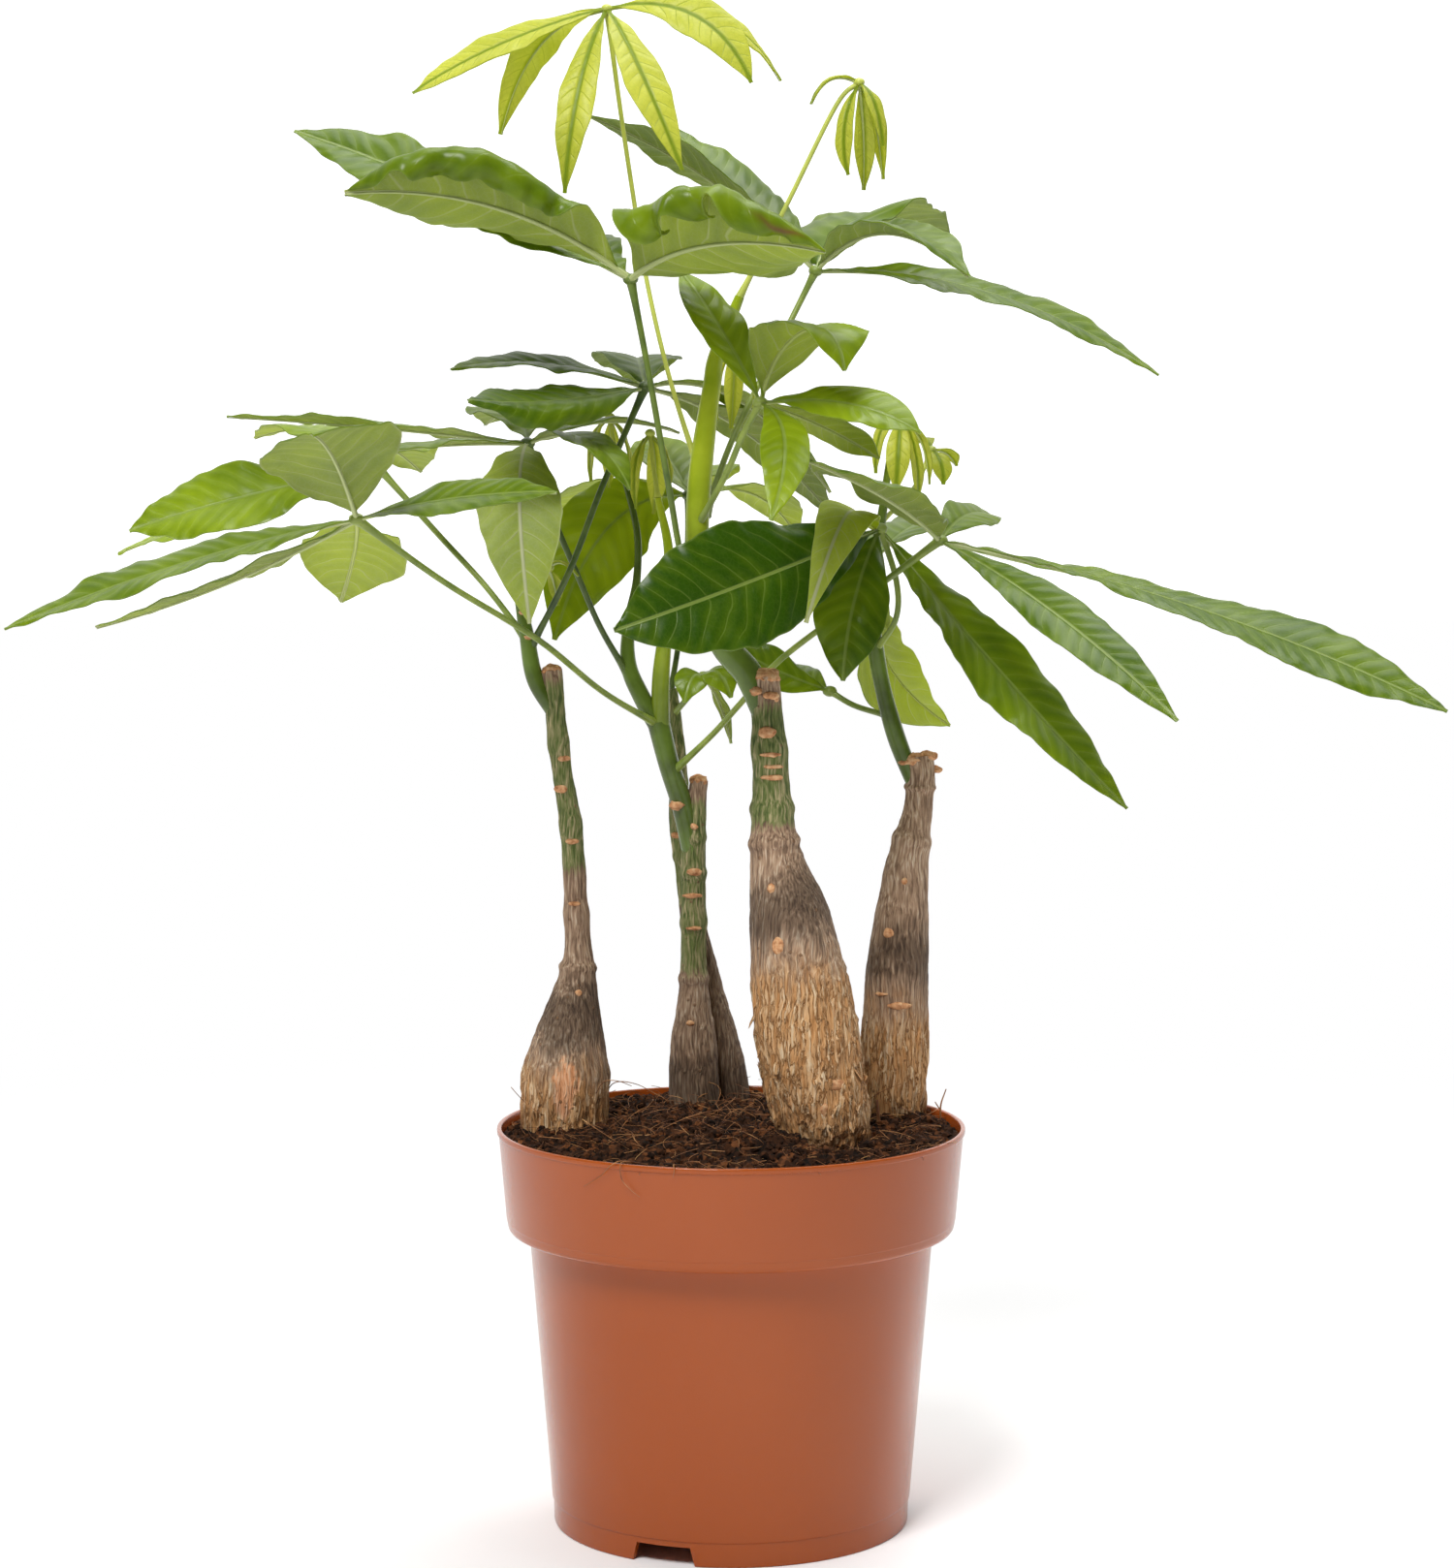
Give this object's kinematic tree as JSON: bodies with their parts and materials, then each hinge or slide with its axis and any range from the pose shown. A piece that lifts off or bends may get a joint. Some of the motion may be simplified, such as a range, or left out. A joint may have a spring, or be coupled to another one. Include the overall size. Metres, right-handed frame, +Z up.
{
  "type": "potted money tree",
  "caption": "Potted money tree: slim trunks with swollen bases in compost in a round terracotta-coloured plastic pot, under a crown of hand-shaped leaves on long stalks.",
  "frame": {"origin": "middle of the surface that the pot stands on, on the pot's axis", "axes": "+Z up along the pot's axis; -Y is the side that faces the picture's camera; +X to the right seen from there"},
  "size_m": [0.4927, 0.2448, 0.5517],
  "materials": {
    "pot_plastic": "satin",
    "compost": "matte",
    "bark": "matte",
    "leaf_green": "satin",
    "leaf_young": "satin"
  },
  "bodies": {
    "root": {"pot": "pot_plastic", "compost": "compost", "trunk_left": "bark", "trunk_middle": "bark", "trunk_rear": "bark", "trunk_front": "bark", "trunk_right": "bark", "leaf_top": "leaf_young", "leaf_upper_left": "leaf_green", "leaf_upper_right": "leaf_green", "leaf_front": "leaf_green", "leaf_bud_top": "leaf_young", "leaf_far_right": "leaf_green", "leaf_low_right": "leaf_green", "leaf_back_right": "leaf_green", "leaf_far_left": "leaf_green", "leaf_left_behind": "leaf_green", "leaf_inner_left": "leaf_green", "leaf_middle_rear": "leaf_green", "leaf_rear": "leaf_green", "leaf_small_low": "leaf_green", "leaf_curled_low": "leaf_green", "leaf_young_left": "leaf_young", "leaf_young_middle": "leaf_young", "leaf_young_stem": "leaf_young", "leaf_young_right": "leaf_young", "leaf_young_back": "leaf_young", "leaf_young_low": "leaf_young"}
  },
  "joints": []
}
